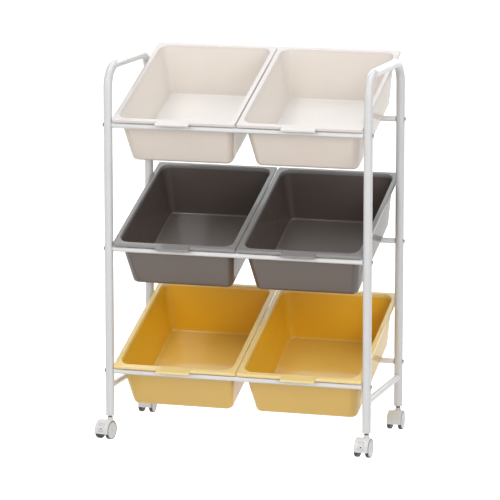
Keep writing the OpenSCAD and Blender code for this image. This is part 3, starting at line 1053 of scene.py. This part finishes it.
    def _tyre(self, sign: int) -> Shape:
        """A wheel's tread with rounded edges and the dark disc on the wheel's inner face.

        Args:
            sign: side of the axle.

        Returns:
            The shape.
        """
        a, b, r, q, p = self.wheel_in, self.wheel_in + self.tyre_w, self.wheel_r, self.hub_r, self.boss_r
        bend = (r - q) / 2
        loop = [(p, a + 0.3), (p + 0.3, a), (8.0, a), (8.3, a + 0.3), (r - 3.0, a + 0.3), (r - 2.7, a)]
        loop += arc(r - bend, a + bend, bend, -90, 0, 5) + arc(r - bend, b - bend, bend, 0, 90, 5)
        loop += [(q + 0.4, b), (q, b - 0.4), (q, a + self.disc), (p, a + self.disc)]
        shape = Shape()
        shape.lathe([(u, sign * h) for u, h in loop][::sign], self._round_axle, 64, True)
        return shape

    def _lever(self) -> Shape:
        """The brake lever with its soft edges, its dimple and the lug round its pin.

        Returns:
            The shape.
        """
        top, mid, e = self.hood_r, (self.lever_low + self.lever_high) / 2, self.lever_edge
        half, rings = self.lever_high - mid, []
        # each row: distance from the axle, inset from the outline, share of the way to the dimple, growth of the dimple
        rows = [(self.lever_in, 0.0, 0.0, 1.0), (top - e, 0.0, 0.0, 1.0), (top - 0.45, 0.1, 0.0, 1.0),
                (top - 0.12, 0.35, 0.0, 1.0)] + [(top, e, share, 1.25) for share in spread(0.0, 1.0, 6)]
        rows += [(top - 0.12, e, 1.0, 1.1), (top - 0.4, e, 1.0, 1.0), (top - 2.2, e, 1.0, 1.0)]
        for r, inset, share, grow in rows:
            ring, reach = [], self.dimple_r * grow
            for c, d in ((math.cos(t), math.sin(t)) for t in turns(64)):
                stretch = 1.0 / max(abs(c), abs(d))
                u, v = (self.lever_half - inset) * c * stretch, mid + (half - inset * self.per_mm) * d * stretch
                x, a = reach * c, self.dimple_a + reach * d * self.per_mm
                ring.append(self._polar(u + (x - u) * share, r, v + (a - v) * share))
            rings.append(ring)
        shape = Shape()
        shape.stack(list(reversed(r)) for r in rings)
        w, (_, y, z) = self.lever_half, self._polar(0.0, self.pin_r, self.pin_a)
        lug = [(0.0, -w), (self.lug_r, -w), (self.lug_r, w), (0.0, w)]
        shape.lathe(lug, lambda a, b, h: (h, y + a, z + b), 24)
        return shape

    def _shade_plug(self) -> Shape:
        """Painted shade: a dark plug at the bottom of the lever's dimple that stands in for the shade inside a hole.

        Returns:
            The shape.
        """
        shape, rings = Shape(), []
        for share, deep in ((1.0, 2.0), (1.0, 1.2), (0.8, 0.9), (0.1, 0.8)):
            reach, r = self.dimple_r * share, self.hood_r - deep
            rings.append([self._polar(-reach * math.cos(t), r, self.dimple_a + reach * math.sin(t) * self.per_mm)
                          for t in turns(24)])
        shape.stack(rings)
        return shape

    def _stem(self) -> Shape:
        """The stem with its dark collar under the post.

        Returns:
            The shape.
        """
        low, foot = self.post_foot - self.collar_h, self.stem_foot
        collar = [(3.9, 0.0), (4.9, 0.0), (5.2, 0.3), (5.2, 4.2), (4.9, 4.55), (4.0, 4.55)]
        profile = [(0.0, foot), (3.9, foot)] + [(r, low + h) for r, h in collar] + list(self.bead)
        s = Shape()
        s.lathe(profile, lambda a, b, h: (a, b, h), 40)
        return s

    def build(self) -> None:
        """Makes the caster's pieces and dresses its CAD nodes."""
        c = self.corner.name.lower()
        body, lever = f"caster_{c}", f"brake_lever_{c}"
        parts = [(self._hood(), "moulded_hood", body, f"hood_{c}", Finish.caster_white),
                 (self._stem(), "turned_stem", body, f"stem_{c}", Finish.steel_dark)]
        for word, sign in (("a", -1), ("b", 1)):
            wheel = f"wheel_{word}_{c}"
            parts += [(self._hub(sign), f"ringed_hub_{word}", wheel, f"hub_{word}_{c}", Finish.hub_white),
                      (self._tyre(sign), f"tread_{word}", wheel, f"tyre_{word}_{c}", Finish.tyre_dark)]
        if self.corner.braked:
            parts += [(self._lever(), "pressed_lever", lever, f"brake_{c}", Finish.caster_white),
                      # The lever's dark plug is painted shade, standing in for the shade inside a hole.
                      (self._shade_plug(), "lever_shade_plug", lever, f"brake_{c}", Finish.tyre_dark)]
            self.dresser.dress(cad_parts[f"brake_pin_{c}"], Finish.steel_plain)
        for shape, name, on, node, finish in parts:
            self.dresser.fit(shape, f"{name}_{c}", on, node, finish, self.place, self.sharp)
        self.dresser.dress(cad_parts[f"axle_{c}"], Finish.steel_plain)


@dataclass
class FootSockets(Assembly):
    """Plastic sockets in the posts' feet."""

    low: float = 49.0
    high: float = 84.0
    bore_r: float = 4.05
    plug_r: float = 8.25
    flange_r: float = 9.9
    flange_h: float = 2.4

    def build(self) -> None:
        """Makes the four sockets as one piece, like their node."""
        z, r, f = self.low, self.bore_r, self.flange_r
        loop = [(r, self.high), (r, z + 0.4), (r + 0.4, z), (f - 0.4, z), (f, z + 0.4), (f, z + self.flange_h - 0.5),
                (f - 0.5, z + self.flange_h), (self.plug_r, z + self.flange_h), (self.plug_r, self.high)]
        shape = Shape()
        for corner in Corner:
            x, y, _ = corner.spot(self.rack) / MM
            shape.lathe(loop, lambda a, b, h: (x + a, y + b, h), 48, True)
        self.dresser.fit(shape, "foot_socket_set", "rack", "foot_sockets", Finish.socket_white)


@dataclass(frozen=True)
class Lamp:
    """A soft area light without a visible face; lengths in metres, power in watts."""

    name: str
    spot: Point
    size: Flat
    power: float
    tint: Colour = (1.0, 0.98, 0.96)
    target: Point = (0.0, 0.0, 0.4)

    def make(self) -> None:
        """Makes the light and turns it to its target."""
        data = bpy.data.lights.new(self.name, "AREA")
        data.color, data.energy, data.shape = self.tint, self.power, "RECTANGLE"
        data.size, data.size_y = self.size
        lamp = bpy.data.objects.new(self.name, data)
        lamp.visible_camera = False
        lamp.location = self.spot
        lamp.rotation_mode = "QUATERNION"
        lamp.rotation_quaternion = (Vector(self.target) - Vector(self.spot)).to_track_quat("-Z", "Y")
        bpy.context.scene.collection.objects.link(lamp)


COOL = (0.92, 0.97, 1.0)


@dataclass
class Studio:
    """Camera, pale floor and soft light; lengths in metres."""

    lens: float = 229.6
    azimuth: float = 16.91
    elevation: float = 10.18
    aim: Point = (-0.0118, 0.0, 0.406)
    distance: float = 6.958
    floor_half: float = 30.0
    pool: Point = (0.1, -0.5, 0.0)
    pool_edge: Flat = (0.35, 1.1)
    pool_glow: float = 0.6
    floor_glow: float = 0.47
    glow_strength: float = 2.4
    sky: tuple[Flat, ...] = ((0.0, 0.54), (0.42, 0.54), (0.5, 0.43), (0.72, 0.43), (0.78, 0.36))
    lamps: tuple[Lamp, ...] = (
        Lamp("box_above", (0.0, 0.5, 3.2), (2.8, 3.6), 47.0, COOL),
        Lamp("box_back", (-0.6, 3.4, 1.5), (5.0, 1.8), 60.0, COOL, (0.0, 0.0, 0.5)),
        Lamp("box_key", (-1.3, -3.4, 3.3), (1.8, 1.5), 45.0),
        Lamp("box_front", (0.6, -2.2, 3.1), (2.0, 1.4), 5.0),
        Lamp("box_left", (-2.4, -2.6, 1.7), (1.8, 1.8), 15.0),
        Lamp("box_right", (2.4, -2.6, 1.5), (1.8, 1.8), 44.0),
        Lamp("strip_low", (0.6, -3.2, 0.7), (3.0, 1.0), 2.5),
    )

    def camera(self) -> None:
        """Makes the camera at the photograph's viewing angle."""
        a, e = math.radians(self.azimuth), math.radians(self.elevation)
        back = Vector((math.sin(a) * math.cos(e), -math.cos(a) * math.cos(e), math.sin(e)))
        data = bpy.data.cameras.new("camera")
        data.lens, data.sensor_width = self.lens, 36.0
        data.clip_start, data.clip_end = 0.1, 100.0
        camera = bpy.data.objects.new("camera", data)
        camera.location = Vector(self.aim) + back * self.distance
        camera.rotation_mode = "QUATERNION"
        camera.rotation_quaternion = (-back).to_track_quat("-Z", "Y")
        bpy.context.scene.collection.objects.link(camera)
        bpy.context.scene.camera = camera

    def floor(self) -> None:
        """Makes a wide pale floor that glows more in front of the rack."""
        mesh, r = bpy.data.meshes.new("studio_floor"), self.floor_half
        mesh.from_pydata([(-r, -r, 0), (r, -r, 0), (r, r, 0), (-r, r, 0)], [], [[0, 1, 2, 3]])
        floor = bpy.data.objects.new("studio_floor", mesh)
        bpy.context.scene.collection.objects.link(floor)
        g = Paint("floor_white")
        g.set(Base_Color=g.mix((0.31, 0.31, 0.31), (0.29, 0.29, 0.29), g.noise(400.0, 2.0)), Roughness=0.9)
        away = g.node("ShaderNodeVectorMath", {"operation": "DISTANCE"}, {0: g.place(), 1: self.pool}, "Value")
        glow = g.mix((self.pool_glow,) * 3, (self.floor_glow,) * 3, away.above(*self.pool_edge))
        g.set(Emission_Color=glow, Emission_Strength=self.glow_strength, Specular_IOR_Level=0.0)
        mesh.materials.append(g.material)
        floor.visible_diffuse = False

    def light(self) -> None:
        """Makes the sky, whose grey goes by height, and the lamps."""
        world = bpy.data.worlds.new("studio")
        world.use_nodes = True
        g = NodeGraph(world.node_tree)
        up = g.node("ShaderNodeSeparateXYZ", {}, {"Vector": g.node("ShaderNodeTexCoord", {}, {}, "Generated")}, "Z")
        height = g.node("ShaderNodeMapRange", {}, {"Value": up, "From Min": -1.0})
        colour = g.node("ShaderNodeValToRGB", {}, {"Fac": height}, "Color")
        stops = colour.socket.node.color_ramp.elements
        for _ in self.sky[len(stops):]:
            stops.new(0.5)
        for stop, (place, grey) in zip(stops, self.sky):
            stop.position, stop.color = place, (grey, grey, grey, 1.0)
        g.feed(g.tree.nodes["Background"].inputs["Color"], colour)
        bpy.context.scene.world = world
        for lamp in self.lamps:
            lamp.make()
        bpy.context.scene.view_settings.view_transform = "Standard"
        bpy.context.scene.view_settings.look = "None"

    def build(self) -> None:
        """Sets up camera, floor and light."""
        self.camera()
        self.floor()
        self.light()
        log.info("studio ready")


def main() -> None:
    """Builds the whole scene."""
    rack, dresser = RackSizes(), Dresser()
    Studio().build()
    for assembly in (SideFrame, CrossBars, FootSockets, Bin):
        assembly(rack, dresser).build()
    for corner in Corner:
        Caster(rack, dresser, corner).build()


if __name__ == "__main__":
    main()
